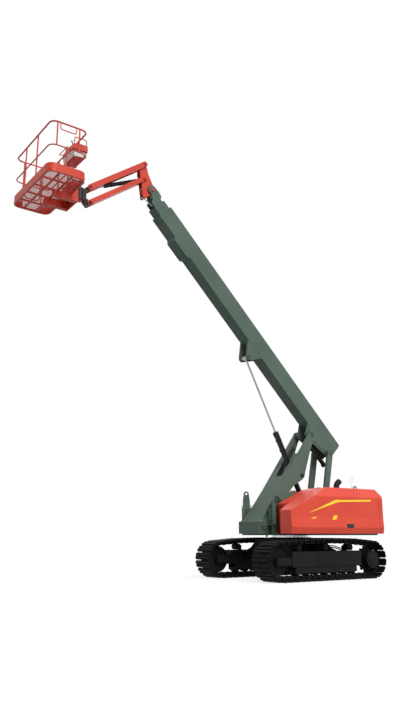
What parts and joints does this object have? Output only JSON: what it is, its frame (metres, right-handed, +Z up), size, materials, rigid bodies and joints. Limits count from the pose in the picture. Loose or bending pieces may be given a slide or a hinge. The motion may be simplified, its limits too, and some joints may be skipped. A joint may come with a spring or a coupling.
{
  "type": "tracked telescopic boom lift",
  "caption": "Self-propelled boom lift on crawler tracks with a slewing body, telescoping boom, parallel jib and a railed work platform.",
  "frame": {"origin": "on the ground, under the centre of the machine's overall box", "axes": "+Z up; +X forward, the way the boom points; +Y to the machine's left"},
  "size_m": [8.3654, 2.49, 8.7421],
  "materials": {
    "black_paint": "satin",
    "green_paint": "satin",
    "red_paint": "satin",
    "red_cover": "gloss",
    "bare_steel": "satin",
    "rod_chrome": "gloss",
    "black_iron": "matte",
    "engine_alloy": "matte",
    "tank_plastic": "matte",
    "beacon_lens": "gloss",
    "floor_grid": "matte"
  },
  "bodies": {
    "undercarriage": {"carbody": "black_paint", "slew_ring": "bare_steel", "left_track": "black_paint", "left_track_frame": "black_paint", "left_rollers": "black_paint", "left_idler": "black_paint", "left_sprocket": "black_paint", "right_track": "black_paint", "right_track_frame": "black_paint", "right_rollers": "black_paint", "right_idler": "black_paint", "right_sprocket": "black_paint"},
    "turntable": {"turntable_frame": "green_paint", "left_inner_cover": "red_cover", "right_inner_cover": "red_cover", "counterweight": "black_iron", "engine_block": "engine_alloy", "tank_block": "tank_plastic", "exhaust": "black_paint", "beacon": "beacon_lens"},
    "left_hood": {"left_hood": "red_cover"},
    "right_hood": {"right_hood": "red_cover"},
    "front_link": {"front_link": "green_paint"},
    "boom": {"base_boom": "green_paint", "tail_cylinder": "black_paint"},
    "mid_boom": {"mid_boom": "green_paint"},
    "fly_boom": {"fly_boom": "green_paint"},
    "rear_link": {"rear_link": "green_paint"},
    "lift_barrel": {"lift_cylinder_barrel": "black_paint"},
    "lift_rod": {"lift_cylinder_rod": "rod_chrome"},
    "jib_bracket": {"jib_bracket": "green_paint"},
    "level_barrel": {"level_cylinder_barrel": "black_paint"},
    "level_rod": {"level_cylinder_rod": "rod_chrome"},
    "jib_lower_arm": {"jib_lower_arm": "red_paint"},
    "jib_upper_arm": {"jib_upper_arm": "red_paint"},
    "jib_barrel": {"jib_cylinder_barrel": "black_paint"},
    "jib_rod": {"jib_cylinder_rod": "rod_chrome"},
    "rotator": {"rotator": "black_paint"},
    "platform": {"platform_support": "red_paint", "platform_frame": "red_paint", "platform_floor": "floor_grid", "platform_rails": "red_paint", "control_console": "red_cover"},
    "gate": {"gate": "red_paint"}
  },
  "joints": [
    {"name": "slew", "type": "hinge", "parent": "undercarriage", "child": "turntable", "pos_m": [-2.3227, 0, 0.9], "axis": [0, 0, 1], "continuous": true},
    {"name": "left_hood_hinge", "type": "hinge", "parent": "turntable", "child": "left_hood", "pos_m": [-2.6727, 0.6025, 1.912], "axis": [1, 0, 0], "range_deg": [0, 60]},
    {"name": "right_hood_hinge", "type": "hinge", "parent": "turntable", "child": "right_hood", "pos_m": [-2.6727, -0.6025, 1.912], "axis": [-1, 0, 0], "range_deg": [0, 60]},
    {"name": "front_link_foot", "type": "hinge", "parent": "turntable", "child": "front_link", "pos_m": [-1.2727, 0, 1.12], "axis": [0, -1, 0], "range_deg": [-11.45, 20.18]},
    {"name": "boom_lift", "type": "hinge", "parent": "front_link", "child": "boom", "pos_m": [-2.86258, 0, 3.16966], "axis": [0, -1, 0], "range_deg": [-64.81, 36.68]},
    {"name": "rear_link_top", "type": "hinge", "parent": "boom", "child": "rear_link", "pos_m": [-3.4191, 0, 2.76103], "axis": [0, -1, 0], "range_deg": [-42.36, 74.66]},
    {"name": "lift_cylinder_trunnion", "type": "hinge", "parent": "front_link", "child": "lift_barrel", "pos_m": [-2.46471, 0, 2.19499], "axis": [0, -1, 0], "range_deg": [-52.45, 29.76]},
    {"name": "lift_rod_slide", "type": "slide", "parent": "lift_barrel", "child": "lift_rod", "axis": [0.4616, 0, 0.8871], "range_m": [-1.1329, 0.64275]},
    {"name": "boom_telescope", "type": "slide", "parent": "boom", "child": "mid_boom", "axis": [0.7108, 0, 0.7034], "range_m": [0, 5.5]},
    {"name": "fly_telescope", "type": "slide", "parent": "mid_boom", "child": "fly_boom", "axis": [0.7108, 0, 0.7034], "range_m": [-0.001, 5.501]},
    {"name": "jib_bracket_pivot", "type": "hinge", "parent": "fly_boom", "child": "jib_bracket", "pos_m": [1.48388, 0, 8.13208], "axis": [0, -1, 0], "range_deg": [-25.44, 44.84]},
    {"name": "level_cylinder_pivot", "type": "hinge", "parent": "fly_boom", "child": "level_barrel", "pos_m": [0.90939, 0, 7.53262], "axis": [0, -1, 0], "range_deg": [-2.46, 4.33]},
    {"name": "level_rod_slide", "type": "slide", "parent": "level_barrel", "child": "level_rod", "axis": [0.8823, 0, 0.4706], "range_m": [-0.10634, 0.18744]},
    {"name": "jib_lift", "type": "hinge", "parent": "jib_bracket", "child": "jib_lower_arm", "pos_m": [1.67388, 0, 8.34207], "axis": [0, -1, 0], "range_deg": [-23.3, 96.7]},
    {"name": "upper_arm_pivot", "type": "hinge", "parent": "jib_bracket", "child": "jib_upper_arm", "pos_m": [1.67388, 0, 8.68207], "axis": [0, -1, 0], "range_deg": [-23.54, 96.94]},
    {"name": "jib_cylinder_pivot", "type": "hinge", "parent": "jib_bracket", "child": "jib_barrel", "pos_m": [1.67388, 0, 8.34207], "axis": [0, -1, 0], "range_deg": [-22.8, 93.9]},
    {"name": "jib_rod_slide", "type": "slide", "parent": "jib_barrel", "child": "jib_rod", "axis": [0.9032, 0, -0.4293], "range_m": [-0.11481, 0.4728]},
    {"name": "jib_head_pivot", "type": "hinge", "parent": "jib_lower_arm", "child": "rotator", "pos_m": [2.93267, 0, 7.4038], "axis": [0, -1, 0], "range_deg": [-96.94, 23.54]},
    {"name": "platform_rotate", "type": "hinge", "parent": "rotator", "child": "platform", "pos_m": [3.13267, 0, 7.4038], "axis": [0, 0, 1], "range_deg": [-80, 80]},
    {"name": "gate_hinge", "type": "hinge", "parent": "platform", "child": "gate", "pos_m": [3.95267, -0.8927, 8.0038], "axis": [0, 0, -1], "range_deg": [0, 90]}
  ],
  "couplings": [
    {"joint": "front_link_foot", "follows": "boom_lift", "ratio": -0.31034},
    {"joint": "rear_link_top", "follows": "boom_lift", "ratio": -1.1483},
    {"joint": "lift_cylinder_trunnion", "follows": "boom_lift", "ratio": 0.80669},
    {"joint": "lift_rod_slide", "follows": "boom_lift", "m_per_rad": 0.99834},
    {"joint": "jib_bracket_pivot", "follows": "boom_lift", "ratio": -0.68966},
    {"joint": "level_cylinder_pivot", "follows": "boom_lift", "ratio": -0.066557},
    {"joint": "level_rod_slide", "follows": "boom_lift", "m_per_rad": -0.16518},
    {"joint": "fly_telescope", "follows": "boom_telescope", "ratio": 1},
    {"joint": "upper_arm_pivot", "follows": "jib_lift", "ratio": 1},
    {"joint": "jib_cylinder_pivot", "follows": "jib_lift", "ratio": 0.96861},
    {"joint": "jib_rod_slide", "follows": "jib_lift", "m_per_rad": 0.27945},
    {"joint": "jib_head_pivot", "follows": "jib_lift", "ratio": -1}
  ]
}
